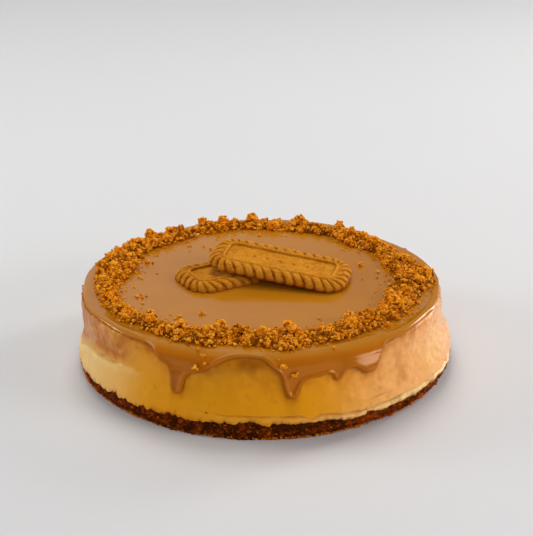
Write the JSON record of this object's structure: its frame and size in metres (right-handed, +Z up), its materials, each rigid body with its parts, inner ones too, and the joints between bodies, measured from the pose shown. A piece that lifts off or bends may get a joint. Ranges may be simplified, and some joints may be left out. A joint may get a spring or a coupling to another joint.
{
  "type": "baked cheesecake",
  "caption": "Round baked cheesecake on a crumb base, with a poured caramel-brown spread that drips, a ring of crumbs and crossed biscuits on top.",
  "frame": {"origin": "centre of the cake's underside, on the surface that it stands on", "axes": "+Z up through the top; -Y is the front shown in the picture, with the drips; +X to its right"},
  "size_m": [0.2057, 0.2056, 0.058],
  "materials": {
    "biscuit_base": "dark crumbly baked biscuit base, matt",
    "cheesecake_filling": "baked cream filling, satin, golden with browned patches",
    "spread_glaze": "smooth caramel-brown biscuit spread, glossy",
    "crumb_ring": "golden-brown biscuit crumbs, matt",
    "biscuit_lower": "baked golden-brown biscuit, matt",
    "biscuit_upper": "baked golden-brown biscuit, matt"
  },
  "bodies": {
    "root": {"biscuit_base": "biscuit_base", "cheesecake_filling": "cheesecake_filling", "spread_glaze": "spread_glaze", "crumb_ring": "crumb_ring", "biscuit_lower": "biscuit_lower", "biscuit_upper": "biscuit_upper"}
  },
  "joints": []
}
